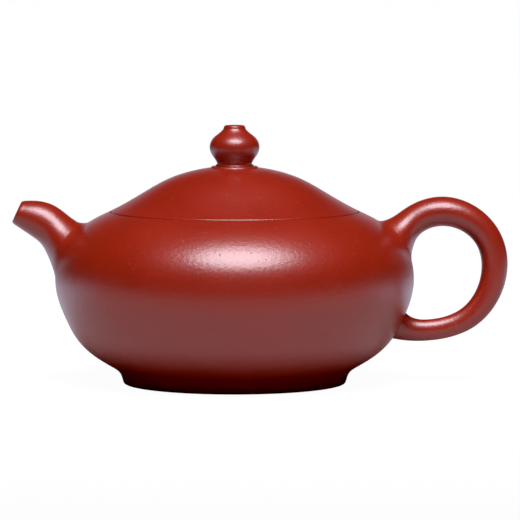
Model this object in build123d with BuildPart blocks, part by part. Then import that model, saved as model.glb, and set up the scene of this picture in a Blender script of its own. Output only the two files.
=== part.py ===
"""Low, round-bellied teapot of unglazed clay with a lift-off lid.

Frame: millimetres, +Z up, origin at the centre of the face that the foot ring stands on.
The spout points to -X and the handle to +X. Every round piece is turned about Z.
"""
from build123d import *
import os
from math import cos, radians, sin

os.makedirs("parts", exist_ok=True)

# ------------------------------------------------------------------ driving dimensions
WALL = 3.0                 # thickness of the beaten slabs
BELLY_R = 53.8             # widest radius of the pot
BELLY_Z = 31.4             # height of the widest place

FOOT_R = 33.3              # outer radius of the foot where it stands
FOOT_BORE_R = 29.4         # inner radius of the foot
FOOT_RECESS = 2.6          # how far the base is held off the table
FOOT_ROUND = 0.6           # rounding of the foot's standing edges
FLOOR_R = 33.0             # radius of the base slab
FLOOR_TOP = FOOT_RECESS + WALL

OPENING_R = 37.35          # radius of the cut opening in the shoulder
OPENING_EDGE_Z = 51.62     # height of the shoulder's surface at the opening
SEAT_Z = 49.9              # ledge that the lid sits on
LID_GAP = 0.3              # play between the lid and the opening, all round
MOUTH_BORE_R = 31.5        # bore of the mouth ring
MOUTH_RING_DEPTH = 4.7     # from the seat down to the ring's lower edge

LID_R = OPENING_R - LID_GAP
LID_EDGE_Z = 51.8          # height of the lid's surface at its rim
LID_TOP_Z = 65.25          # top of the dome, under the collar
LID_WALL = 3.0
LID_EDGE_ROUND = 0.5
OPENING_EDGE_ROUND = 0.3
FLANGE_R = MOUTH_BORE_R - LID_GAP
FLANGE_WALL = 2.6
FLANGE_DEPTH = 6.0         # below the seat

COLLAR_R = 7.15
COLLAR_TOP_Z = 65.25
STEP_R = 5.7               # the smaller disc on top of the collar
STEP_TOP_Z = 65.8
NECK_R = 5.2               # the knob where it stands on the collar
KNOB_R = 7.45
KNOB_WIDE_Z = 71.0         # height of the knob's widest place
KNOB_TOP_Z = 77.5
VENT_R = 0.9               # air hole through knob, collar and dome

SPOUT_TIP_BORE_R = 2.5
SPOUT_ROOT_BORE_R = 5.6
STRAINER_R = 8.4           # outside radius of the pierced dome
STRAINER_WALL = 1.5
STRAINER_HOLE_R = 0.95


def heading(angle):
    """Unit direction in a section plane, in degrees above the outward axis."""
    return (cos(radians(angle)), sin(radians(angle)))


def inset_points(edge, distance, stations):
    """Points at a set distance inside an outline that runs upwards, for the inner face of a wall."""
    points = []
    for station in stations:
        place = edge @ station
        along = edge % station
        points.append((place.X - along.Y * distance, place.Y + along.X * distance))
    return points


def cross_plane(x, z, angle):
    """Plane square to a limb's centre line, which lies in XZ at an angle above +X."""
    return Plane(
        origin=(x, 0, z),
        x_dir=(0, 1, 0),
        z_dir=(cos(radians(angle)), 0, sin(radians(angle))),
    )


# ------------------------------------------------------------------ outlines of the pot
# The outer line runs from the foot, round the belly and over the shoulder to the opening.
foot_joint = (36.4, 4.92)
belly_bend = [(43.1, 9.2), (47.7, 14.05), (50.75, 19.8), (52.8, 25.0)]
widest = (BELLY_R, BELLY_Z)
shoulder_bend = [(52.75, 37.94), (50.15, 42.6)]
shoulder_joint = (46.41, 46.39)
shoulder_top = [(41.99, 49.36)]
opening_edge = (OPENING_R, OPENING_EDGE_Z)

lower_line = Spline(foot_joint, *belly_bend, widest, tangents=[heading(31), heading(90)])
shoulder_whole = Spline(
    widest, *shoulder_bend, shoulder_joint, *shoulder_top, opening_edge,
    tangents=[heading(90), heading(155)],
)
joint_station = shoulder_whole.param_at_point(Vector(*shoulder_joint))
upper_line = shoulder_whole.trim(0, joint_station)
shoulder_line = shoulder_whole.trim(joint_station, 1)

# The inner line keeps the wall's thickness and runs out flat on the base slab.
inner_lower = inset_points(lower_line, WALL, [0.0, 0.25, 0.5, 0.75])
inner_upper = inset_points(shoulder_whole, WALL, [0.0, 0.17, 0.34])
inner_joint = inset_points(shoulder_line, WALL, [0.0])[0]
inner_shoulder = inset_points(shoulder_line, WALL, [0.5])
inner_edge = (OPENING_R, OPENING_EDGE_Z - WALL / cos(radians(25)))
floor_edge = (FLOOR_R, 6.5)
floor_flat_end = (26.5, FLOOR_TOP)

inner_wall_line = Spline(
    floor_edge, *inner_lower, *inner_upper, inner_joint,
    tangents=[heading(20), shoulder_line % 0.0],
)
inner_shoulder_line = Spline(
    inner_joint, *inner_shoulder, inner_edge,
    tangents=[shoulder_line % 0.0, heading(155)],
)
floor_line = Spline(floor_flat_end, floor_edge, tangents=[heading(0), heading(20)])

# ------------------------------------------------------------------ helper volumes
# The whole outside of the pot without its limbs, for fitting spout and handle to it.
with BuildPart() as envelope:
    with BuildSketch(Plane.XZ):
        with BuildLine():
            add(lower_line)
            add(upper_line)
            add(shoulder_line)
            Polyline(opening_edge, (0, OPENING_EDGE_Z), (0, foot_joint[1]), foot_joint)
        make_face()
    revolve(axis=Axis.Z)

# The space inside the pot up to the opening, for trimming the strainer to the wall.
with BuildPart() as tea_space:
    with BuildSketch(Plane.XZ):
        with BuildLine():
            add(floor_line)
            add(inner_wall_line)
            add(inner_shoulder_line)
            Polyline(inner_edge, (0, inner_edge[1]), (0, FLOOR_TOP), floor_flat_end)
        make_face()
    revolve(axis=Axis.Z)

# Spout stations from inside the wall to the tip: centre x, centre z, outer radius, bore radius,
# and the angle of the centre line above -X. The root opens out into the belly like a bell.
SPOUT_STATIONS = [
    (-46.8, 38.3, 10.9, SPOUT_ROOT_BORE_R, 31),
    (-49.4, 40.35, 9.15, SPOUT_ROOT_BORE_R, 33),
    (-51.15, 42.7, 7.05, 5.2, 38),
    (-53.15, 45.25, 6.1, 4.5, 42),
    (-57.35, 48.7, 5.7, 3.9, 33),
    (-61.6, 50.5, 4.85, 3.2, 27),
    (-65.3, 51.5, 3.6, SPOUT_TIP_BORE_R, 25),
]
SPOUT_BORE_START = (-42.5, 35.2)   # where the bore leaves the wall, inside the pot
SPOUT_BORE_END = (-66.2, 51.9)     # just past the tip, so that the mouth is cut open


def spout_section(x, z, angle, radius):
    """A round section square to the spout's centre line."""
    with BuildSketch(cross_plane(x, z, 180 - angle)) as section:
        Circle(radius)
    return section.sketch


with BuildPart() as spout_bore:
    first = SPOUT_STATIONS[0]
    last = SPOUT_STATIONS[-1]
    add(spout_section(*SPOUT_BORE_START, first[4], SPOUT_ROOT_BORE_R))
    for x, z, outer_r, bore_r, angle in SPOUT_STATIONS:
        add(spout_section(x, z, angle, bore_r))
    add(spout_section(*SPOUT_BORE_END, last[4], SPOUT_TIP_BORE_R))
    loft()

# ------------------------------------------------------------------ the pot
# Foot ring: a low coil with a hollow flare up to the belly.
with BuildPart() as foot_ring:
    with BuildSketch(Plane.XZ) as foot_section:
        with BuildLine():
            Line((FOOT_BORE_R, 0), (FOOT_R, 0))
            Spline((FOOT_R, 0), (33.75, 1.5), (34.35, 3.0), foot_joint,
                   tangents=[heading(70), heading(31)])
            Polyline(foot_joint, (FLOOR_R, foot_joint[1]), (FLOOR_R, FOOT_RECESS),
                     (FOOT_BORE_R - 0.4, FOOT_RECESS), (FOOT_BORE_R, 0))
        make_face()
        fillet(foot_section.vertices().group_by(Axis.Y)[0], FOOT_ROUND)
    revolve(axis=Axis.Z)
foot_ring.part.label = "foot_ring"

# Base slab: flat underneath, its upper side curving up into the wall.
with BuildPart() as floor_disc:
    with BuildSketch(Plane.XZ):
        with BuildLine():
            add(floor_line)
            Polyline(floor_edge, (FLOOR_R, FOOT_RECESS), (0, FOOT_RECESS), (0, FLOOR_TOP),
                     floor_flat_end)
        make_face()
    revolve(axis=Axis.Z)
floor_disc.part.label = "floor_disc"

# Belly: one even wall from the base slab to the shoulder, pierced for the spout.
with BuildPart() as belly_wall:
    with BuildSketch(Plane.XZ):
        with BuildLine():
            add(lower_line)
            add(upper_line)
            Line(shoulder_joint, inner_joint)
            add(inner_wall_line)
            Polyline(floor_edge, (FLOOR_R, foot_joint[1]), foot_joint)
        make_face()
    revolve(axis=Axis.Z)
    add(spout_bore.part, mode=Mode.SUBTRACT)
belly_wall.part.label = "belly_wall"

# Shoulder: the upper slab, ending in the cut opening with a softened edge.
with BuildPart() as shoulder_disc:
    with BuildSketch(Plane.XZ) as shoulder_section:
        with BuildLine():
            add(shoulder_line)
            Line(opening_edge, inner_edge)
            add(inner_shoulder_line)
            Line(inner_joint, shoulder_joint)
        make_face()
        fillet(shoulder_section.vertices().sort_by(Axis.Y)[-1], OPENING_EDGE_ROUND)
    revolve(axis=Axis.Z)
shoulder_disc.part.label = "shoulder_disc"

# Mouth ring: its flat top is the lid's seat and its bore guides the flange.
with BuildPart() as mouth_ring:
    with BuildSketch(Plane.XZ):
        with BuildLine():
            Polyline(
                (MOUTH_BORE_R, SEAT_Z), (OPENING_R, SEAT_Z), inner_edge,
                (MOUTH_BORE_R + WALL, SEAT_Z - MOUTH_RING_DEPTH),
                (MOUTH_BORE_R, SEAT_Z - MOUTH_RING_DEPTH), close=True,
            )
        make_face()
    revolve(axis=Axis.Z)
mouth_ring.part.label = "mouth_ring"

# Spout: a curved, tapered tube that flares where it is luted on, cut slanting at the tip.
with BuildPart() as spout:
    for x, z, outer_r, bore_r, angle in SPOUT_STATIONS:
        add(spout_section(x, z, angle, outer_r))
    loft()
    add(envelope.part, mode=Mode.SUBTRACT)
    add(spout_bore.part, mode=Mode.SUBTRACT)
    tip_rim = spout.faces().sort_by(Axis.X)[0]
    fillet(tip_rim.outer_wire().edges(), 0.7)
spout.part.label = "spout"

# Ball strainer: a thin pierced dome on the inside of the wall, over the spout's bore.
strainer_angle = SPOUT_STATIONS[0][4]
strainer_plane = Plane(
    origin=(-47.4, 0, 38.6),
    x_dir=(0, 1, 0),
    z_dir=(cos(radians(strainer_angle)), 0, -sin(radians(strainer_angle))),
)
with BuildPart(strainer_plane) as ball_strainer:
    Sphere(STRAINER_R)
    Sphere(STRAINER_R - STRAINER_WALL, mode=Mode.SUBTRACT)
    add(tea_space.part, mode=Mode.INTERSECT)
    Cylinder(STRAINER_HOLE_R, 2 * STRAINER_R, mode=Mode.SUBTRACT)
    for tilt, count in ((26, 6), (52, 12)):
        for turn in range(count):
            spin = Rotation(0, 0, turn * 360 / count)
            drill = spin * Rotation(0, tilt, 0) * Pos(0, 0, STRAINER_R)
            with Locations(strainer_plane.location * drill):
                Cylinder(STRAINER_HOLE_R, STRAINER_R, mode=Mode.SUBTRACT)
ball_strainer.part.label = "ball_strainer"

# Handle stations from the upper root, over the top, down and back in to the belly:
# centre x, centre z, radius, and the angle of the centre line above +X.
HANDLE_STATIONS = [
    (46.9, 42.0, 8.6, 36),
    (49.2, 43.9, 6.4, 37),
    (50.8, 46.2, 5.05, 40),
    (54.0, 49.1, 4.45, 36),
    (62.0, 51.65, 4.45, 0),
    (70.25, 49.4, 4.25, -32),
    (76.0, 43.55, 4.05, -63),
    (78.0, 35.25, 3.93, -90),
    (76.12, 27.1, 3.7, -114),
    (70.45, 19.95, 3.4, -145),
    (59.0, 16.05, 3.2, -176),
    (50.4, 17.15, 3.85, -205),
    (46.8, 19.0, 4.6, -210),
]
with BuildPart() as handle:
    for x, z, radius, angle in HANDLE_STATIONS:
        with BuildSketch(cross_plane(x, z, angle)):
            Circle(radius)
    loft()
    add(envelope.part, mode=Mode.SUBTRACT)
handle.part.label = "handle"

# ------------------------------------------------------------------ the lid
lid_edge = (LID_R, LID_EDGE_Z)
lid_top = (0, LID_TOP_Z)
lid_line = Spline(
    lid_edge, (28.1, 56.8), (20.1, 61.27), (10.0, 64.33), lid_top,
    tangents=[heading(154), heading(180)],
)
# Inner face of the dome: a straight land for the flange, then even with the outside.
flange_land_outer = (FLANGE_R, 51.6)
flange_land_inner = (FLANGE_R - FLANGE_WALL, 53.1)
dome_inner_points = inset_points(lid_line, LID_WALL, [0.42, 0.6, 0.8])
dome_inner_top = (0, LID_TOP_Z - LID_WALL)
dome_inner_line = Spline(
    flange_land_inner, *dome_inner_points, dome_inner_top,
    tangents=[heading(149), heading(180)],
)


def pierce_vent():
    """The air hole, through whatever stands on the axis."""
    with Locations((0, 0, KNOB_TOP_Z)):
        Cylinder(VENT_R, KNOB_TOP_Z, mode=Mode.SUBTRACT)


# Dome: the cap with a flat seat around its rim.
with BuildPart() as lid_dome:
    with BuildSketch(Plane.XZ) as dome_section:
        with BuildLine():
            add(lid_line)
            Line(lid_top, dome_inner_top)
            add(dome_inner_line)
            Polyline(flange_land_inner, flange_land_outer, (FLANGE_R, SEAT_Z), (LID_R, SEAT_Z),
                     lid_edge)
        make_face()
        rim_corners = dome_section.vertices().group_by(Axis.X)[-1]
        fillet(rim_corners.sort_by(Axis.Y)[-1], LID_EDGE_ROUND)
    revolve(axis=Axis.Z)
    pierce_vent()
lid_dome.part.label = "lid_dome"

# Flange: the ring that hangs into the mouth and keeps the lid centred.
with BuildPart() as lid_flange:
    with BuildSketch(Plane.XZ) as flange_section:
        with BuildLine():
            Polyline(
                flange_land_outer, flange_land_inner,
                (FLANGE_R - FLANGE_WALL, SEAT_Z - FLANGE_DEPTH),
                (FLANGE_R, SEAT_Z - FLANGE_DEPTH), close=True,
            )
        make_face()
        fillet(flange_section.vertices().group_by(Axis.Y)[0], 0.8)
    revolve(axis=Axis.Z)
lid_flange.part.label = "lid_flange"

# Collar: a thin disc with a smaller one on top; its underside follows the dome.
with BuildPart() as dome_solid:
    with BuildSketch(Plane.XZ):
        with BuildLine():
            add(lid_line)
            Polyline(lid_top, (0, LID_EDGE_Z), lid_edge)
        make_face()
    revolve(axis=Axis.Z)

with BuildPart() as knob_collar:
    with Locations((0, 0, COLLAR_TOP_Z)):
        Cylinder(COLLAR_R, 2.0, align=(Align.CENTER, Align.CENTER, Align.MAX))
    fillet(knob_collar.edges().group_by(Axis.Z)[-1], 0.3)
    with Locations((0, 0, COLLAR_TOP_Z)):
        Cylinder(STEP_R, STEP_TOP_Z - COLLAR_TOP_Z, align=(Align.CENTER, Align.CENTER, Align.MIN))
    fillet(knob_collar.edges().group_by(Axis.Z)[-1], 0.2)
    add(dome_solid.part, mode=Mode.SUBTRACT)
    pierce_vent()
knob_collar.part.label = "knob_collar"

# Knob: pear-shaped, drawn in to a small mouth with the air hole at its bottom.
knob_mouth_r = 2.6
knob_recess_r = 1.7
knob_recess_z = KNOB_TOP_Z - 0.7
with BuildPart() as knob:
    with BuildSketch(Plane.XZ):
        with BuildLine():
            Spline(
                (NECK_R, STEP_TOP_Z), (5.6, 66.9), (6.8, 68.7), (KNOB_R, KNOB_WIDE_Z),
                (6.97, 72.87), (5.3, 74.62), (3.82, 75.85), (3.36, 76.6), (3.1, 77.1),
                tangents=[heading(86), heading(116)],
            )
            RadiusArc((3.1, 77.1), (knob_mouth_r, KNOB_TOP_Z), -0.5)
            Spline((knob_mouth_r, KNOB_TOP_Z), (2.1, 77.35), (knob_recess_r, knob_recess_z),
                   tangents=[heading(180), heading(250)])
            Polyline((knob_recess_r, knob_recess_z), (0, knob_recess_z), (0, STEP_TOP_Z),
                     (NECK_R, STEP_TOP_Z))
        make_face()
    revolve(axis=Axis.Z)
    pierce_vent()
knob.part.label = "knob"

# ------------------------------------------------------------------ files
pieces = [
    foot_ring, floor_disc, belly_wall, shoulder_disc, mouth_ring, spout, ball_strainer, handle,
    lid_dome, lid_flange, knob_collar, knob,
]
for piece in pieces:
    export_step(piece.part, f"parts/{piece.part.label}.step")
    print(f"{piece.part.label:14s} {piece.part.volume / 1000:8.2f} cm3")

tea_volume = tea_space.part.volume / 1000
print(f"tea space up to the lid {tea_volume:.0f} ml")
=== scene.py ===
# %% [markdown]
# # A low, round-bellied clay teapot
#
# This teapot is built by hand, without a wheel. Its maker beats slabs of fine red clay, joins
# them with slip into a low round body, and fits a spout, a handle and a lid that lifts off. It
# is fired without glaze, after its skin has been pressed smooth with a horn tool.
#
# The model comes as a fixed frame, one closed solid for each of its twelve pieces. This lesson
# models each piece again as a finer mesh at its place in the frame, gives it a clay skin, and
# lights it as in a small product studio. Three pieces are larger here than in the frame: the
# roots of spout and handle spread further over the pot, and the ball strainer, inside, reaches
# the wall. Everything is in metres once it is a mesh; the sizes below are written in
# millimetres, as the maker would say them.

# %% Load the frame
from math import cos, pi, radians, sin

import bpy
import numpy as np
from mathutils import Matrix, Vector


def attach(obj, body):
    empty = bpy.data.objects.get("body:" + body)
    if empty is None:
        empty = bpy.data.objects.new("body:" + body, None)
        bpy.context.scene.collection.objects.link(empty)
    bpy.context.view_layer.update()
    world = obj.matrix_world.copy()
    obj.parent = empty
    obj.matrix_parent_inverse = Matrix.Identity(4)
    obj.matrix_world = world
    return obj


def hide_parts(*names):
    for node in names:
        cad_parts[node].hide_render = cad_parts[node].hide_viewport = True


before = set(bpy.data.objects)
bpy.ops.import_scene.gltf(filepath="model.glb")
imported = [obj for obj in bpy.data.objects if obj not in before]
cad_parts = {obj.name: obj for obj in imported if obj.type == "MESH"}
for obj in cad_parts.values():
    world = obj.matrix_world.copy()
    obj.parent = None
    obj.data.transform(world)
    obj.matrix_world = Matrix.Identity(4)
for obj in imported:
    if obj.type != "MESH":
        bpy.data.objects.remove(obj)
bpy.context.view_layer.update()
MM = 0.001

# %% [markdown]
# ## Smooth lines
#
# A beaten pot has no straight line in its outline. The maker cuts a template for it, and the
# template is one fair curve through a few places that matter: the foot, the widest part, the
# shoulder, the opening. Here a cubic line runs through those places with a given direction at
# its ends. The points along it lie closer together at both ends, so that two pieces that meet
# there have the same slope, and the joint doesn't show as a crease.


# %% A smooth line through a few places
def heading(angle):
    """Direction in a section plane, in degrees above the outward axis."""
    return (cos(radians(angle)), sin(radians(angle)))


def smooth_line(places, first=None, last=None, count=60, even=False):
    """Points along one smooth line through the places, with its direction given at the ends.

    Columns after the first two, such as a radius, change smoothly along the line with them.
    """
    knots = np.array(places, float)
    gaps = np.linalg.norm(np.diff(knots[:, :2], axis=0), axis=1)
    at = np.concatenate(([0.0], np.cumsum(gaps)))
    last_knot = len(knots) - 1
    rows = np.zeros((len(knots), len(knots)))
    wanted = np.zeros_like(knots)
    for i in range(1, last_knot):
        rows[i, i - 1:i + 2] = gaps[i], 2 * (gaps[i - 1] + gaps[i]), gaps[i - 1]
        rise_before = (knots[i] - knots[i - 1]) / gaps[i - 1]
        rise_after = (knots[i + 1] - knots[i]) / gaps[i]
        wanted[i] = 3 * (gaps[i] * rise_before + gaps[i - 1] * rise_after)
    ends = ((0, 1, gaps[0], first), (last_knot, last_knot - 1, gaps[-1], last))
    for end, near, gap, given in ends:
        rows[end, end], rows[end, near] = 2, 1
        wanted[end] = 3 * (knots[max(end, near)] - knots[min(end, near)]) / gap
        if given is not None:
            rows[end, near] = 0
            wanted[end] = 0
            wanted[end, :2] = 2 * np.array(given)
    slopes = np.linalg.solve(rows, wanted)
    share = np.linspace(0, 1, count)
    if not even:
        share = (1 - np.cos(pi * share)) / 2
    line = []
    for place in share * at[-1]:
        i = min(int(np.searchsorted(at, place, "right")) - 1, last_knot - 1)
        t = (place - at[i]) / gaps[i]
        line.append(
            knots[i] * (1 + 2 * t) * (1 - t) ** 2 + slopes[i] * gaps[i] * t * (1 - t) ** 2
            + knots[i + 1] * t * t * (3 - 2 * t) - slopes[i + 1] * gaps[i] * t * t * (1 - t)
        )
    return np.array(line)


def inset(line, distance):
    """The line moved to its left by a distance, for the inner face of a wall."""
    along = np.gradient(line, axis=0)
    along /= np.linalg.norm(along, axis=1)[:, None]
    return line + distance * np.stack([-along[:, 1], along[:, 0]], axis=1)


def soft_corner(before, corner, after, radius, steps=5):
    """A few points that round off a corner, from a radius before it to a radius after it."""
    corner = Vector(corner)
    start = corner + (Vector(before) - corner).normalized() * radius
    end = corner + (Vector(after) - corner).normalized() * radius
    return [
        tuple(start * (1 - t) ** 2 + corner * 2 * t * (1 - t) + end * t * t)
        for t in np.linspace(0, 1, steps)
    ]


quarter = smooth_line([(1, 0), (0, 1)], heading(90), heading(180))
print("a quarter of a turn in", len(quarter), "points")

# %% [markdown]
# ## Turning a piece
#
# Foot, base, belly, shoulder, mouth ring, lid and knob are all round about one upright axis.
# The maker turns them on a banding wheel against a template; in Blender the same thing is an
# outline that is spun. A plane primitive is merged to one point, the point is extruded along
# the outline, and the closed outline is spun a full turn. The ends of the turn meet, so their
# doubles are merged, and the normals are recalculated to face out of the clay.


# %% The turning helper
TURNS, SMALL_TURNS = 180, 96
DOUBLES = 0.002 * MM
CREASE = radians(35)


def deselect():
    """Nothing stays selected, so that an operator acts only on what comes next."""
    if bpy.context.object and bpy.context.object.mode != "OBJECT":
        bpy.ops.object.mode_set(mode="OBJECT")
    bpy.ops.object.select_all(action="DESELECT")


def turn(name, outline, turns=TURNS):
    """A piece turned about Z from a closed outline of (radius, height) in millimetres."""
    places = [Vector((radius, 0, height)) * MM for radius, height in outline]
    deselect()
    bpy.ops.mesh.primitive_plane_add(size=MM)
    piece = bpy.context.object
    piece.name = piece.data.name = name
    bpy.ops.object.mode_set(mode="EDIT")
    bpy.ops.mesh.merge(type="CENTER")
    bpy.ops.transform.translate(value=places[0])
    for here, there in zip(places, places[1:] + places[:1]):
        bpy.ops.mesh.extrude_region_move(TRANSFORM_OT_translate={"value": there - here})
    bpy.ops.mesh.select_all(action="SELECT")
    bpy.ops.mesh.remove_doubles(threshold=DOUBLES)
    bpy.ops.mesh.spin(steps=turns, angle=2 * pi, center=(0, 0, 0), axis=(0, 0, 1))
    bpy.ops.mesh.select_all(action="SELECT")
    bpy.ops.mesh.remove_doubles(threshold=DOUBLES)
    bpy.ops.mesh.normals_make_consistent(inside=False)
    bpy.ops.object.mode_set(mode="OBJECT")
    bpy.ops.object.shade_smooth_by_angle(angle=CREASE)
    return piece


def measure(piece):
    """Prints a piece's size in millimetres and how many faces it has."""
    corners = [Vector(corner) for corner in piece.bound_box]
    size = [(max(c[i] for c in corners) - min(c[i] for c in corners)) / MM for i in range(3)]
    sides = " x ".join(f"{side:.1f}" for side in size)
    print(f"{piece.name}: {sides} mm, {len(piece.data.polygons)} faces")


def seat(piece, body, slot, *nodes):
    """The piece moves with its body and stands for its CAD nodes; slot is not used."""
    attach(piece, body)
    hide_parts(*nodes)
    measure(piece)


# %% [markdown]
# ## The outline of the pot
#
# The low belly is widest a little below half its height. It comes up from the foot in a wide
# bowl, turns over at the widest part and runs up the shoulder to the cut opening. The wall is
# an even 3 mm, as a beaten slab is, so the inner line is the outer line moved inwards. Belly
# and shoulder are two slabs, joined where the shoulder begins to flatten. Both are taken from
# one finely divided line, thinned out afterwards, and the points beside the joint are kept, so
# that the two pieces have the same slope there.

# %% Outer and inner line of the pot
WALL = 3.0
OPENING_R, BASE_R, FOOT_TOP = 37.35, 33.0, 4.92
BELLY_STEP, SHOULDER_STEP = 6, 7
foot_joint, widest = (36.4, FOOT_TOP), (53.8, 31.4)
shoulder_joint, opening_edge = (46.41, 46.39), (OPENING_R, 51.62)

lower_line = smooth_line(
    [foot_joint, (43.1, 9.2), (47.7, 14.05), (50.75, 19.8), (52.8, 25.0), widest],
    heading(31), heading(90), 64,
)
over_line = smooth_line(
    [widest, (52.75, 37.94), (50.15, 42.6), shoulder_joint, (41.99, 49.36), opening_edge],
    heading(90), heading(155), 400,
)
joint_row = int(np.argmin(np.linalg.norm(over_line - np.array(shoulder_joint), axis=1)))
upper_line = over_line[:joint_row + 1:BELLY_STEP]
if tuple(upper_line[-1]) != tuple(over_line[joint_row]):
    upper_line = np.vstack([upper_line, over_line[joint_row - 1:joint_row + 1]])
shoulder_line = np.vstack([
    over_line[joint_row:joint_row + 2],
    over_line[joint_row + SHOULDER_STEP:-1:SHOULDER_STEP],
    over_line[-1:],
])

floor_edge, inner_edge = (BASE_R, 6.5), (OPENING_R, 48.31)
inner_belly = np.vstack([
    [floor_edge], inset(lower_line, WALL)[::2], inset(upper_line, WALL)[1:],
])
INNER_SHOULDER_END = 38.2
inner_shoulder = inset(shoulder_line, WALL)
inner_shoulder = inner_shoulder[inner_shoulder[:, 0] > INNER_SHOULDER_END]
print("belly", len(lower_line) + len(upper_line), "points, shoulder", len(shoulder_line), "points")

# %% [markdown]
# ## Foot, base and belly
#
# The foot is a thin coil with a hollow flare up into the belly, and its standing edges are
# rounded by a wet sponge. The base slab sits inside it, held 2.6 mm off the table, so that the
# pot stands only on its rim. The belly is one strip of slab: its outline goes up the outside,
# over the joint with the shoulder, and down again inside.

# %% Turn foot, base and belly
BASE_LIFT, BASE_TOP = 2.6, 5.6
FOOT_BORE, FOOT_STAND, FOOT_ROUND, FLARE_START = 29.4, 33.3, 0.6, 0.7
flare = smooth_line(
    [(FOOT_STAND, 0), (33.75, 1.5), (34.35, 3.0), foot_joint], heading(70), heading(31), 24,
)
foot_outline = (
    soft_corner((FOOT_BORE, BASE_LIFT), (FOOT_BORE, 0), (FOOT_STAND, 0), FOOT_ROUND)
    + soft_corner((FOOT_BORE, 0), (FOOT_STAND, 0), tuple(flare[8]), FOOT_ROUND)
    + [tuple(place) for place in flare if place[1] > FLARE_START]
    + [(BASE_R, FOOT_TOP), (BASE_R, BASE_LIFT), (29.2, BASE_LIFT), (FOOT_BORE, 2.2)]
)
foot_ring = turn("foot_ring", foot_outline)
seat(foot_ring, "pot", "red_clay", "foot_ring")

base_line = smooth_line([(26.5, BASE_TOP), floor_edge], heading(0), heading(20), 16)
base_outline = (
    [(0, BASE_LIFT), (BASE_R, BASE_LIFT)]
    + [tuple(place) for place in base_line[::-1]] + [(0, BASE_TOP)]
)
floor_disc = turn("floor_disc", base_outline)
seat(floor_disc, "pot", "inside_clay", "floor_disc")

belly_outline = np.vstack([lower_line, upper_line[1:], inner_belly[::-1], [(BASE_R, FOOT_TOP)]])
belly_wall = turn("belly_wall", belly_outline)
print("the belly turns in", len(belly_outline), "steps of its outline")

# %% [markdown]
# ## Shoulder and mouth
#
# The upper slab is beaten over into the shoulder and cut open for the lid, and the cut edge is
# softened by 0.2 mm so that it doesn't chip. Under the opening a ring is luted in. Its flat top
# is the seat that the lid rests on, and its bore guides the lid's flange.

# %% Turn shoulder and mouth ring
EDGE_ROUND, EDGE_START = 0.2, 37.58
opening_round = soft_corner(tuple(shoulder_line[-4]), opening_edge, inner_edge, EDGE_ROUND)
shoulder_outline = (
    [tuple(place) for place in shoulder_line if place[0] > EDGE_START]
    + opening_round + [inner_edge] + [tuple(place) for place in inner_shoulder[::-1]]
)
shoulder_disc = turn("shoulder_disc", shoulder_outline)
seat(shoulder_disc, "pot", "red_clay", "shoulder_disc")

LEDGE, MOUTH_BORE, MOUTH_BOTTOM, MOUTH_ROUND = 49.9, 31.5, 45.2, 0.25
mouth_outline = (
    soft_corner((MOUTH_BORE, MOUTH_BOTTOM), (MOUTH_BORE, LEDGE), (OPENING_R, LEDGE), MOUTH_ROUND)
    + [(OPENING_R, LEDGE), inner_edge, (34.5, MOUTH_BOTTOM), (MOUTH_BORE, MOUTH_BOTTOM)]
)
mouth_ring = turn("mouth_ring", mouth_outline)
seat(mouth_ring, "pot", "inside_clay", "mouth_ring")

# %% [markdown]
# ## The lid
#
# The lid is a beaten cap, 37.05 mm in radius, with 0.3 mm of play in the opening. Its rim has a
# rounded edge, which catches a thin bright line all round. Underneath, a ring hangs into the
# mouth and keeps the lid on while tea is poured. The air hole is part of the outline, which
# stops short of the axis, so the turned cap is left open there.

# %% Turn the lid and its flange
LID_R, VENT = 37.05, 0.9
FLANGE_R, FLANGE_BORE, FLANGE_BOTTOM, FLANGE_ROUND = 31.2, 28.6, 43.9, 0.8
RIM_ROUND, RIM_START = 0.3, 36.7
lid_edge, lid_top = (LID_R, 51.8), (0, 65.25)
flange_outer_top, flange_inner_top = (FLANGE_R, 51.6), (FLANGE_BORE, 53.1)
dome_line = smooth_line(
    [lid_edge, (28.1, 56.8), (20.1, 61.27), (10.0, 64.33), lid_top],
    heading(154), heading(180), 70,
)
dome_inside = smooth_line(
    [flange_inner_top] + [tuple(place) for place in inset(dome_line, WALL)[32:66:8]]
    + [(0, lid_top[1] - WALL)],
    heading(149), heading(180), 36,
)
dome_outline = (
    soft_corner((LID_R, LEDGE), lid_edge, tuple(dome_line[12]), RIM_ROUND, 6)
    + [tuple(place) for place in dome_line if VENT < place[0] < RIM_START]
    + [(VENT, 65.24), (VENT, 62.24)]
    + [tuple(place) for place in dome_inside[::-1] if place[0] > VENT]
    + [flange_outer_top, (FLANGE_R, LEDGE), (36.8, LEDGE), (LID_R, 50.15)]
)
lid_dome = turn("lid_dome", dome_outline)
seat(lid_dome, "lid", "lid_clay", "lid_dome")

inner_foot, outer_foot = (FLANGE_BORE, FLANGE_BOTTOM), (FLANGE_R, FLANGE_BOTTOM)
flange_outline = (
    [flange_outer_top, flange_inner_top]
    + soft_corner(flange_inner_top, inner_foot, outer_foot, FLANGE_ROUND)
    + soft_corner(inner_foot, outer_foot, flange_outer_top, FLANGE_ROUND)
)
lid_flange = turn("lid_flange", flange_outline)
seat(lid_flange, "lid", "inside_clay", "lid_flange")

# %% [markdown]
# ## Collar and knob
#
# On top of the lid stands a thin disc in two steps, and on that the knob, pear-shaped and drawn
# in to a small open mouth. The mouth is the air hole, which runs down through knob, collar and
# lid on the axis. Both pieces are small, so they are turned in fewer steps. The steps of the
# collar are rounded nearly as far as they are high, since sharp ones would chip.

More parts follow.
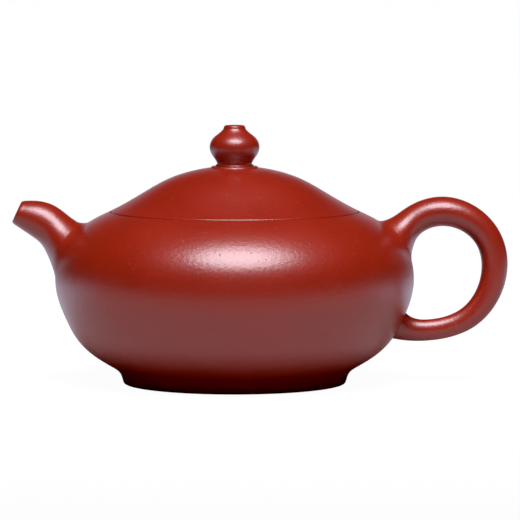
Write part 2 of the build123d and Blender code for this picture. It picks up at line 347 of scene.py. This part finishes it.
# %% Turn the collar and the knob
COLLAR_R, COLLAR_FOOT, STEP_R, STEP, COLLAR_TOP = 7.15, 64.5, 5.7, 65.25, 65.8
collar_outline = (
    [(VENT, 65.0), (6.6, 64.6), (COLLAR_R, COLLAR_FOOT)]
    + soft_corner((COLLAR_R, COLLAR_FOOT), (COLLAR_R, STEP), (STEP_R, STEP), 0.7, 8)
    + [(5.75, STEP), (STEP_R, 65.3)]
    + soft_corner((STEP_R, STEP), (STEP_R, COLLAR_TOP), (VENT, COLLAR_TOP), 0.5, 7)
    + [(VENT, COLLAR_TOP)]
)
knob_collar = turn("knob_collar", collar_outline, SMALL_TURNS)
seat(knob_collar, "lid", "lid_clay", "knob_collar")

KNOB_TOP, knob_neck, mouth_floor = 77.5, (3.26, 76.7), (1.7, 76.8)
pear_line = smooth_line(
    [(5.2, COLLAR_TOP), (5.6, 66.9), (6.8, 68.7), (7.45, 71.0), (6.97, 72.87), (5.3, 74.62),
     (3.86, 75.8), (3.44, 76.3), knob_neck],
    heading(86), heading(101), 72,
)
lip = soft_corner(knob_neck, (3.1, 77.46), (2.3, KNOB_TOP), 0.62, 9)
mouth_line = smooth_line(
    [(2.4, KNOB_TOP), (2.05, 77.35), mouth_floor], heading(180), heading(250), 8,
)
knob_outline = (
    [tuple(place) for place in pear_line] + lip + [tuple(place) for place in mouth_line[1:]]
    + soft_corner(mouth_floor, (VENT, mouth_floor[1]), (VENT, 66), 0.2, 3)
    + [(VENT, COLLAR_TOP)]
)
knob = turn("knob", knob_outline, SMALL_TURNS)
seat(knob, "lid", "lid_clay", "knob")

# %% [markdown]
# ## Limbs: a skin through rings
#
# Spout and handle are rolled by hand, bent, and luted on. Their sections are nearly round
# further out and oval where they spread onto the pot, while the centre line bends and the thickness
# changes. So the mesh is a circle that is extruded from ring to ring: each new ring is moved,
# scaled and turned about its own centre, and it has its own breadth from front to back.
#
# Where a limb is luted on, the maker works the clay over with a wet finger, and the limb grows
# out of the pot in a soft hollow. That is made with a few wide rings that a Shrinkwrap modifier
# lays onto the pot: a Subdivision Surface then draws the fillet between the last free ring and
# the ones on the skin. The outer rings are tucked 0.02 mm under the clay and the very first one
# 1.6 mm deep, so that the limb has no edge.
#
# Two skins that lie so close still catch the light differently, because each is shaded by its
# own faces. A Data Transfer modifier therefore hands the pot's normals to the laid rings. It
# fades out over the last of them and the first free ring, so that the highlight runs from the
# pot into the limb unbroken.


# %% The limb helper
def limb(name, rings, sides):
    """A skin through rings of (x, z, radius, angle of the centre line above +X, breadth on Y)."""
    deselect()
    x, z, radius, angle, breadth = rings[0]
    bpy.ops.mesh.primitive_circle_add(
        vertices=sides, radius=radius * MM, location=(x * MM, 0, z * MM),
        rotation=(0, radians(90 - angle), 0),
    )
    bpy.ops.object.transform_apply(location=True, rotation=True, scale=True)
    piece = bpy.context.object
    piece.name = piece.data.name = name
    bpy.ops.object.mode_set(mode="EDIT")
    bpy.ops.mesh.select_all(action="SELECT")
    bpy.ops.transform.resize(value=(1, breadth / radius, 1), center_override=(x * MM, 0, z * MM))
    for (x0, z0, r0, a0, b0), (x1, z1, r1, a1, b1) in zip(rings, rings[1:]):
        centre = (x1 * MM, 0, z1 * MM)
        bpy.ops.mesh.extrude_region_move(
            TRANSFORM_OT_translate={"value": ((x1 - x0) * MM, 0, (z1 - z0) * MM)}
        )
        bpy.ops.transform.resize(value=(r1 / r0, b1 / b0, r1 / r0), center_override=centre)
        bpy.ops.transform.rotate(
            value=radians(a1 - a0), orient_axis="Y", orient_type="GLOBAL", center_override=centre
        )
    bpy.ops.object.mode_set(mode="OBJECT")
    return piece


# %% Lay a root onto the pot
ROOT_LAYS = (((3, 4), 0.012), ((1, 2), -0.02), ((0,), -1.6))


def lay_root(piece, sides, form):
    """Lays a limb's first rings onto the form's skin: lifted off it a little, or sunk into it."""
    for ring_numbers, lift in ROOT_LAYS:
        group = piece.vertex_groups.new(name=f"laid {lift}")
        for ring in ring_numbers:
            group.add(range(ring * sides, (ring + 1) * sides), 1.0, "REPLACE")
        wrap = piece.modifiers.new("lay on", "SHRINKWRAP")
        wrap.target = form
        wrap.wrap_method = "NEAREST_SURFACEPOINT"
        wrap.wrap_mode = "ABOVE_SURFACE"
        wrap.offset = lift * MM
        wrap.vertex_group = group.name
        bpy.ops.object.modifier_apply(modifier=wrap.name)


# %% Smooth a limb and shade its root
LIMB_LEVELS = 2
ROOT_SHARES = (1, 1, 1, 1, 0.75, 0.15)


def finish_limb(piece, sides, form):
    """Draws the skin smooth through its rings, and shades its first rings as the form is."""
    group = "grown into the pot"
    grown = piece.vertex_groups.new(name=group)
    for ring, share in enumerate(ROOT_SHARES):
        grown.add(range(ring * sides, (ring + 1) * sides), share, "REPLACE")
    smooth = piece.modifiers.new("smooth skin", "SUBSURF")
    smooth.levels = smooth.render_levels = LIMB_LEVELS
    bpy.ops.object.modifier_apply(modifier=smooth.name)
    bpy.ops.object.mode_set(mode="EDIT")
    bpy.ops.mesh.select_all(action="SELECT")
    bpy.ops.mesh.normals_make_consistent(inside=False)
    bpy.ops.object.mode_set(mode="OBJECT")
    bpy.ops.object.shade_smooth()
    blend = piece.modifiers.new("shade as the pot", "DATA_TRANSFER")
    blend.object = form
    blend.use_loop_data = True
    blend.data_types_loops = {"CUSTOM_NORMAL"}
    blend.loop_mapping = "POLYINTERP_NEAREST"
    blend.vertex_group = group
    bpy.ops.object.modifier_apply(modifier=blend.name)
    piece.vertex_groups.clear()


whole_line = [lower_line, upper_line[1:], shoulder_line[1:]]
form = turn("form", np.vstack(whole_line + [[(0, opening_edge[1]), (0, FOOT_TOP)]]))
measure(form)

# %% [markdown]
# ## The spout
#
# A short spout that bends upwards and tapers to a mouth about 5 mm high, cut slanting so that
# the last drop falls clean. Its lip is rounded outside, and the bore runs down through the
# belly wall. The rings go from the tucked root over the outside to the lip, and back down the
# bore. The two open ends lie inside the wall, where they are bridged.

# %% Model the spout
SPOUT_SIDES = 48
spout_line = smooth_line(
    [(-51.15, 42.7, 7.05, 38, 10.0), (-53.15, 45.25, 6.1, 42, 7.9), (-57.35, 48.7, 5.7, 33, 6.1),
     (-61.6, 50.5, 4.85, 27, 5.1), (-65.3, 51.5, 3.6, 25, 4.0)], count=26, even=True,
)
spout_root = [
    (-46.9, 38.6, 10.9, 31, 14.5), (-46.4, 38.0, 12.9, 31, 17.6), (-47.1, 38.6, 12.0, 31, 16.2),
    (-48.1, 39.3, 10.6, 32, 14.4), (-49.4, 40.35, 9.15, 33, 12.4),
]
tip, slant = Vector((-65.3, 51.5)), 25
LIP_R, LIP_DEPTH, LIP_ROUND, LIP_FLARE, LIP_OVAL = 3.62, 0.9, 0.42, 0.33, 0.4
spout_lip = []
inwards = (Vector(spout_line[-2][:2]) - tip).normalized()
for angle in (0, 22, 45, 68, 90):
    back = LIP_DEPTH * (1 - sin(radians(angle)))
    middle = tip + back * inwards
    edge = LIP_R - LIP_ROUND * (1 - cos(radians(angle))) + LIP_FLARE * back
    spout_lip.append((middle.x, middle.y, edge, slant, edge + LIP_OVAL))
DOWN_X, DOWN_Z, BORE_OVAL = 0.9, 0.42, 0.3
for back, bore in ((0, 2.72), (0.06, 2.58), (0.28, 2.5)):
    spout_lip.append(
        (tip.x + DOWN_X * back, tip.y - DOWN_Z * back, bore, slant, bore + BORE_OVAL)
    )
spout_bore = smooth_line(
    [(-64.4, 51.08, 2.5, 25, 2.8), (-61.6, 50.5, 3.2, 27, 3.2), (-57.35, 48.7, 3.9, 33, 3.9),
     (-53.15, 45.25, 4.5, 42, 4.5), (-51.15, 42.7, 5.2, 38, 5.2), (-48.8, 39.9, 5.6, 33, 5.6)],
    count=22, even=True,
)
free_rings = [tuple(ring) for ring in spout_line if ring[0] > tip.x + 1.0]
there_and_back = spout_root + free_rings + spout_lip + [tuple(ring) for ring in spout_bore]
spout_rings = [
    (x, z, radius, 180 - angle, breadth) for x, z, radius, angle, breadth in there_and_back
]
spout = limb("spout", spout_rings, SPOUT_SIDES)
lay_root(spout, SPOUT_SIDES, form)
print("spout rings", len(spout_rings))


# %% Close the spout inside the wall and smooth it
def close_between(piece, first_ring, last_ring, sides):
    """Joins two open rings by faces inside the clay, so that the skin is closed."""
    bpy.ops.object.mode_set(mode="EDIT")
    bpy.ops.mesh.select_all(action="DESELECT")
    bpy.ops.mesh.select_mode(type="EDGE")
    bpy.ops.object.mode_set(mode="OBJECT")
    ends = set(range(first_ring * sides, (first_ring + 1) * sides))
    ends |= set(range(last_ring * sides, (last_ring + 1) * sides))
    for edge in piece.data.edges:
        a, b = edge.vertices
        edge.select = a in ends and b in ends and abs(a - b) < sides
    bpy.ops.object.mode_set(mode="EDIT")
    bpy.ops.mesh.bridge_edge_loops()
    bpy.ops.mesh.select_mode(type="VERT")
    bpy.ops.object.mode_set(mode="OBJECT")


close_between(spout, 0, len(spout_rings) - 1, SPOUT_SIDES)
finish_limb(spout, SPOUT_SIDES, form)
seat(spout, "pot", "red_clay", "spout")

# %% [markdown]
# ## The handle
#
# An ear, thickest at the top where it leaves the shoulder and thinnest underneath, wide enough
# for one finger. Its section is a little broader than high above, round on the outer bend and
# slimmer underneath. Its upper root is worked over softly; below, it simply runs into the belly
# with a slight flare. Each open end is filled with one face, inside the wall.

# %% Model the handle
HANDLE_SIDES = 40
handle_line = smooth_line(
    [(49.2, 43.9, 6.4, 37, 9.2), (50.8, 46.2, 5.05, 40, 7.0), (54.0, 49.1, 4.45, 36, 5.3),
     (62.0, 51.65, 4.45, 0, 5.1), (70.25, 49.4, 4.25, -32, 4.75), (76.0, 43.55, 4.05, -63, 4.3),
     (78.0, 35.25, 3.93, -90, 3.95), (76.12, 27.1, 3.7, -114, 3.55),
     (70.45, 19.95, 3.4, -145, 3.05), (59.0, 16.0, 3.2, -177, 2.85),
     (50.3, 16.9, 4.1, -203, 3.9), (48.5, 17.8, 4.7, -206, 4.7)],
    count=104, even=True,
)
handle_root = [
    (46.4, 41.4, 8.6, 36, 12.6), (45.3, 40.6, 10.8, 36, 16.0), (46.0, 41.2, 9.8, 36, 14.7),
    (46.9, 42.0, 8.6, 36, 13.2), (48.1, 42.9, 7.5, 36, 11.5),
]
handle_end = [(48.45, 17.82, 4.7, -206, 4.7), (48.4, 17.84, 4.7, -206, 4.7)]
handle_rings = handle_root + [tuple(ring) for ring in handle_line] + handle_end
handle = limb("handle", handle_rings, HANDLE_SIDES)
lay_root(handle, HANDLE_SIDES, form)
bpy.ops.object.mode_set(mode="EDIT")
bpy.ops.mesh.select_all(action="DESELECT")
bpy.ops.mesh.select_mode(type="EDGE")
bpy.ops.mesh.select_non_manifold(extend=False)
bpy.ops.mesh.edge_face_add()
bpy.ops.mesh.select_mode(type="VERT")
bpy.ops.object.mode_set(mode="OBJECT")
finish_limb(handle, HANDLE_SIDES, form)
seat(handle, "pot", "red_clay", "handle")

# %% [markdown]
# ## The bore and the ball strainer
#
# Inside the belly a small pierced dome keeps leaves out of the spout. The maker presses it over
# a ball and pierces it with a brass tube: one hole in the middle, a ring of six, a ring of
# twelve. It is turned here as a hollow ball, pierced by nineteen rods in one Boolean, tilted
# into the spout's axis, and trimmed to the pot's inside by a second Boolean. The belly wall
# gets its bore in the same way.


# %% Cut the bore
def cut(piece, tool, operation):
    """Applies a Boolean with a tool that isn't needed afterwards."""
    deselect()
    piece.select_set(True)
    bpy.context.view_layer.objects.active = piece
    knife = piece.modifiers.new("cut", "BOOLEAN")
    knife.operation = operation
    knife.object = tool
    knife.solver = "EXACT"
    bpy.ops.object.modifier_apply(modifier=knife.name)
    bpy.data.objects.remove(tool)


def rod(place, lean, way, radius, depth):
    """A round rod, in metres. Its axis leans from Z towards a way from X, both in radians."""
    deselect()
    bpy.ops.mesh.primitive_cylinder_add(
        vertices=32, radius=radius, depth=depth, location=place, rotation=(0, lean, way),
    )
    bpy.ops.object.transform_apply(location=True, rotation=True, scale=True)
    return bpy.context.object


bore_rod = rod((-47.6 * MM, 0, 39.0 * MM), radians(-57), 0, 5.65 * MM, 12 * MM)
cut(belly_wall, bore_rod, "DIFFERENCE")
seat(belly_wall, "pot", "red_clay", "belly_wall")

# %% Make the strainer
BALL_R, HOLLOW_R, BALL_END = 8.4, 6.9, radians(150)
HOLE_R = 0.95 * MM
ball = [(BALL_R * sin(a), BALL_R * cos(a)) for a in np.linspace(0, BALL_END, 40)]
hollow = [(HOLLOW_R * sin(a), HOLLOW_R * cos(a)) for a in np.linspace(BALL_END, 0, 36)]
ball_strainer = turn("ball_strainer", ball + hollow, 72)
piercers = [rod((0, 0, 7 * MM), 0, 0, HOLE_R, 8 * MM)]
for tilt, number in ((26, 6), (52, 12)):
    for i in range(number):
        lean, way = radians(tilt), 2 * pi * i / number
        place = Vector((sin(lean) * cos(way), sin(lean) * sin(way), cos(lean))) * 7.7 * MM
        piercers.append(rod(place, lean, way, HOLE_R, 5 * MM))
deselect()
for one in piercers:
    one.select_set(True)
bpy.context.view_layer.objects.active = piercers[0]
bpy.ops.object.join()
cut(ball_strainer, piercers[0], "DIFFERENCE")
ball_strainer.rotation_euler = (0, radians(90 + 31), 0)
ball_strainer.location = (-47.4 * MM, 0, 38.6 * MM)
bpy.ops.object.transform_apply(location=True, rotation=True, scale=True)

TRIM = WALL - 0.3
inside = np.vstack([inset(lower_line, TRIM)[1::2], inset(upper_line, TRIM)[1:]])
inside = np.vstack([inside, [(0, inside[-1][1]), (0, inside[0][1])]])
cut(ball_strainer, turn("inside", inside), "INTERSECT")
bpy.ops.object.shade_smooth_by_angle(angle=CREASE)
seat(ball_strainer, "pot", "inside_clay", "ball_strainer")
bpy.data.objects.remove(form)

# %% [markdown]
# ## Writing shader maths
#
# A clay skin is several patterns added, scaled and mixed. Written node by node that is long and
# hard to read, so one small class wraps a socket: an expression such as 1 - 0.3 * grain adds
# the Math nodes that work it out, and one method adds any other node.


# %% A socket that can be calculated with
class Shade:
    """One socket of a node tree, which sums and products can be made of."""

    def __init__(self, tree, socket=None):
        self.tree = tree
        self.socket = socket

    def node(self, kind, sockets, output=0, **settings):
        """Adds a node: its settings first, then its sockets' values or links."""
        made = self.tree.nodes.new(kind)
        for name, value in settings.items():
            setattr(made, name, value)
        for name, value in sockets.items():
            if isinstance(value, Shade):
                self.tree.links.new(value.socket, made.inputs[name])
            else:
                made.inputs[name].default_value = value
        return Shade(self.tree, made.outputs[output])

    def maths(self, operation, *values):
        return self.node("ShaderNodeMath", dict(enumerate(values)), operation=operation)

    def __add__(self, other):
        return self.maths("ADD", self, other)

    def __sub__(self, other):
        return self.maths("SUBTRACT", self, other)

    def __rsub__(self, other):
        return self.maths("SUBTRACT", other, self)

    def __mul__(self, other):
        return self.maths("MULTIPLY", self, other)

    __radd__ = __add__
    __rmul__ = __mul__

    def between(self, low, high):
        """0 below low, 1 above high, and even in between."""
        return self.node(
            "ShaderNodeMapRange", {"Value": self, "From Min": low, "From Max": high}, clamp=True
        )

    def mix(self, below, above):
        """One colour where this is 0 and another where it is 1."""
        return self.node("ShaderNodeMix", {0: self, 6: below, 7: above}, output=2, data_type="RGBA")

    def axis(self, letter):
        """The X, Y or Z of this vector."""
        return self.node("ShaderNodeSeparateXYZ", {0: self}, output=letter)

    def noise(self, grains_per_metre, detail=2.0, roughness=0.5):
        """A cloudy pattern on the object, from 0 to 1, of so many grains to the metre."""
        where = self.node("ShaderNodeTexCoord", {}, output="Object")
        return self.node(
            "ShaderNodeTexNoise",
            {"Vector": where, "Scale": grains_per_metre, "Detail": detail, "Roughness": roughness},
            noise_dimensions="3D",
        )


def colour(*values):
    """A colour from the numbers of a colour picker, 0 to 255."""
    linear = [(v / 255 / 12.92) if v < 11 else ((v / 255 + 0.055) / 1.055) ** 2.4 for v in values]
    return (*linear, 1.0)


print("clay red in linear light:", [round(v, 3) for v in colour(158, 40, 22)])

# %% [markdown]
# ## Burnished red clay
#
# This clay is full of iron and very fine. After the maker has pressed it with a horn tool its
# skin is smooth but not glassy: light breaks over a grain of a few tenths of a millimetre, and
# the tool leaves the surface very slightly uneven. Here and there a pinhole or a speck of
# another colour shows. So the colour changes only a little, in clouds and in specks, and each
# pinhole is painted darker, as painted shade in its hollow; the roughness changes with the
# grain; and four bumps of different sizes lie on top of each other: the tool's waviness, a fine
# peel of about a millimetre, the grain, and the pinholes.
#
# All of it is laid out on Object coordinates. Every piece's object stands at the origin, so the
# grain runs on from belly to shoulder without a seam, as it does on a pot fired in one piece.


# %% The clay material
CLAY_IOR = 1.8
PEEL_PER_GRAIN, PIT_PER_GRAIN, PIT_STRENGTH = 5, 2.5, 0.8


def clay(name, base, dark, speck, shine, grain_depth, wave_depth):
    """Unglazed clay. shine is the lowest and highest roughness; depths are in metres."""
    material = bpy.data.materials.new(name)
    material.use_nodes = True
    tree = material.node_tree
    tree.nodes.clear()
    start = Shade(tree)
    clouds = start.noise(55, 3.0, 0.55)
    grain = start.noise(2300, 3.0, 0.6)
    fine = start.noise(7000, 2.0, 0.5)
    waves = start.noise(95, 1.0, 0.4)
    peel = start.noise(780, 2.5, 0.55)
    pits = start.noise(900, 1.0, 0.5).between(0.735, 0.78)
    specks = start.noise(1500, 1.0, 0.5).between(0.70, 0.76)

    tone = (clouds.between(0.3, 0.7) * 0.6 + grain.between(0.25, 0.75) * 0.4).mix(dark, base)
    tone = (specks * 0.45).mix(tone, speck)
    # Pinholes are painted darker: painted shade in their hollows.
    tone = (pits * 0.6).mix(tone, dark)
    low, high = shine
    mottle = 0.55 * clouds.between(0.3, 0.7) + 0.45 * grain.between(0.3, 0.7)
    rough = low + (high - low) * mottle + 0.25 * pits

    below = {}
    for strength, depth, height in (
        (1.0, wave_depth, waves),
        (1.0, PEEL_PER_GRAIN * grain_depth, peel),
        (1.0, grain_depth, grain + 0.35 * fine),
        (PIT_STRENGTH, PIT_PER_GRAIN * grain_depth, 1 - pits),
    ):
        bump = {"Strength": strength, "Distance": depth, "Height": height, **below}
        below = {"Normal": start.node("ShaderNodeBump", bump)}
    shader = start.node(
        "ShaderNodeBsdfPrincipled",
        {"Base Color": tone, "Roughness": rough, "IOR": CLAY_IOR, **below},
    )
    output = tree.nodes.new("ShaderNodeOutputMaterial")
    tree.links.new(shader.socket, output.inputs["Surface"])
    return material


SKIN_GRAIN, SKIN_WAVE = 0.000013, 0.00006
red_clay = clay(
    "burnished red clay", colour(152, 35, 11), colour(142, 30, 8), colour(171, 63, 35),
    (0.30, 0.36), SKIN_GRAIN, SKIN_WAVE,
)
lid_clay = clay(
    "burnished lid clay", colour(151, 33, 9), colour(141, 28, 6), colour(169, 62, 33),
    (0.31, 0.37), SKIN_GRAIN, SKIN_WAVE,
)
inside_clay = clay(
    "matt inside clay", colour(150, 48, 28), colour(134, 38, 21), colour(172, 82, 56),
    (0.55, 0.70), 0.000022, 0.0001,
)

# %% Give each piece its clay
finishes = {
    red_clay: [foot_ring, belly_wall, shoulder_disc, spout, handle],
    lid_clay: [lid_dome, knob_collar, knob],
    inside_clay: [floor_disc, mouth_ring, ball_strainer, lid_flange],
}
for material, pieces in finishes.items():
    for piece in pieces:
        piece.data.materials.clear()
        piece.data.materials.append(material)
    print(material.name, "on", len(pieces), "pieces")

# %% [markdown]
# ## The table
#
# Polished clay shows its surroundings, so the studio matters as much as the clay. A table of
# white paper gives the grey sheen on the lower belly. Its colour holds painted light. The
# paper is painted darker towards the viewer, as painted shade, and darker still right under
# the pot, as a painted shadow over its real one. Behind the pot it glows, as if the bright
# wall shone on it: a painted glow. Its warm tint is painted bounce, red light thrown off the
# clay. The viewer's own look at it is mixed separately, so that it stays evenly white.


# %% Lay the table
TABLE_SIDE = 24
# The paper's own pale colour, with a warm tint that is painted bounce, red light thrown off the
# clay.
PAPER_WITH_PAINTED_BOUNCE, PAINTED_SHADE_TOWARDS_VIEWER = (0.56, 0.50, 0.49, 1), (0.06, 0.045, 0.04, 1)
# A painted shadow under the pot: the paper's colour there is darker than around it.
PAINTED_SHADOW_UNDER_POT = (0.18, 0.19, 0.20, 1)
# The cool glow is painted light: the paper gives it off behind the pot, though it is no lamp.
WHITE, PAINTED_COOL_GLOW = (1, 1, 1, 1), (0.82, 0.88, 1.10, 1)
deselect()
bpy.ops.mesh.primitive_plane_add(size=TABLE_SIDE, location=(0, 0, 0))
table = bpy.context.object
table.name = "table"
paper = bpy.data.materials.new("white paper")
paper.use_nodes = True
paper.node_tree.nodes.clear()
sheet = Shade(paper.node_tree)
seen = sheet.node("ShaderNodeLightPath", {}, output="Is Camera Ray")
where = sheet.node("ShaderNodeTexCoord", {}, output="Object")
side, back = where.axis("X"), where.axis("Y")
away = sheet.node("ShaderNodeVectorMath", {0: where}, output="Value", operation="LENGTH")
# The paper's colour, with painted shade towards the viewer and a painted shadow right under the
# pot.
shade = back.between(-0.30, -0.07).mix(PAINTED_SHADE_TOWARDS_VIEWER, PAPER_WITH_PAINTED_BOUNCE)
shade = away.between(0.037, 0.052).mix(PAINTED_SHADOW_UNDER_POT, shade)
# Where the painted glow lies: behind the pot, clear of it, fading far off.
clear_of_pot = away - 0.05 * side.between(-0.05, 0.05)
painted_glow_share = back.between(-0.03, 0.08) * clear_of_pot.between(0.06, 0.11)
painted_glow_share = painted_glow_share * (1 - 0.75 * away.between(0.25, 0.60))
diffuse = sheet.node("ShaderNodeBsdfDiffuse", {"Color": shade})
glow = sheet.node("ShaderNodeEmission", {"Color": WHITE, "Strength": 1.08})
# The painted glow behind the pot, mixed into the paper where it lies.
painted_glow_behind = sheet.node("ShaderNodeEmission", {"Color": PAINTED_COOL_GLOW, "Strength": 1.32})
lower = sheet.node("ShaderNodeMixShader", {0: painted_glow_share * 0.8, 1: diffuse, 2: painted_glow_behind})
both = sheet.node("ShaderNodeMixShader", {0: seen * 0.9, 1: lower, 2: glow})
output = paper.node_tree.nodes.new("ShaderNodeOutputMaterial")
paper.node_tree.links.new(both.socket, output.inputs["Surface"])
table.data.materials.append(paper)
print("table", table.dimensions.x, "m")

# %% [markdown]
# ## The room
#
# The wall behind is bright and low, and wraps a thin cool rim around the sides of the pot. It
# is dimmed on the handle's side, but only low down, close to the table. The rest of the room is
# nearly black, which keeps the red deep. The viewer sees plain white behind the pot.

# %% Build the room
DARK_ROOM, BRIGHT_WALL = (0.022, 0.014, 0.011, 1), (0.84, 0.91, 1.08, 1)
room = bpy.data.worlds.new("room")
bpy.context.scene.world = room
room.use_nodes = True
room.node_tree.nodes.clear()
air = Shade(room.node_tree)
way = air.node("ShaderNodeTexCoord", {}, output="Generated")
rightwards, backwards, upwards = way.axis("X"), way.axis("Y"), way.axis("Z")
wall = backwards.between(0.80, 0.96) * (1 - upwards.between(0.10, 0.34))
dimmed = 0.6 * rightwards.between(0.05, 0.25) * (1 - upwards.between(0.0, 0.12))
light = (wall * (1 - dimmed)).mix(DARK_ROOM, BRIGHT_WALL)
seen = air.node("ShaderNodeLightPath", {}, output="Is Camera Ray")
surround = air.node("ShaderNodeBackground", {"Color": seen.mix(light, WHITE), "Strength": 1.0})
output = room.node_tree.nodes.new("ShaderNodeOutputWorld")
room.node_tree.links.new(surround.socket, output.inputs["Surface"])
print("room nodes", len(room.node_tree.nodes))

# %% [markdown]
# ## Light and camera
#
# One wide soft box hangs almost overhead, a little towards the viewer. It is oval, so that the
# broad highlight on the shoulder has no corners, and a little less green than white, which
# keeps the highlight cool on red clay. The camera looks from a long way off through a long
# lens, a few degrees down, so that the pot is drawn with little perspective. A small black
# level deepens the darkest reds.


# %% Hang the light and set the camera
def point(thing, place, target):
    """Puts a light or a camera at a place in metres and turns it to its target."""
    thing.location = place
    thing.rotation_euler = (Vector(target) - thing.location).to_track_quat("-Z", "Y").to_euler()
    bpy.context.scene.collection.objects.link(thing)


lamp = bpy.data.lights.new("overhead soft box", "AREA")
lamp.shape = "ELLIPSE"
lamp.size, lamp.size_y = 0.89, 0.79
lamp.energy = 17.2
lamp.color = (1.0, 0.965, 1.05)
overhead = bpy.data.objects.new("overhead soft box", lamp)
HEART_OF_POT = (0, 0, 0.03)
point(overhead, (0.055, -0.505, 0.975), HEART_OF_POT)
print("soft box", round((overhead.location - Vector(HEART_OF_POT)).length, 2), "m away")

camera = bpy.data.objects.new("camera", bpy.data.cameras.new("camera"))
point(camera, (0.0076, -1.445, 0.157), (0.00762, 0, 0.037))
camera.data.lens = 334.6
camera.data.sensor_width = 36
bpy.context.scene.camera = camera
BLACK_LEVEL = 0.003
view = bpy.context.scene.view_settings
view.view_transform = "Standard"
view.use_curve_mapping = True
view.curve_mapping.black_level = (BLACK_LEVEL, BLACK_LEVEL, BLACK_LEVEL)
view.curve_mapping.update()
print("camera at", [round(v, 3) for v in camera.location])
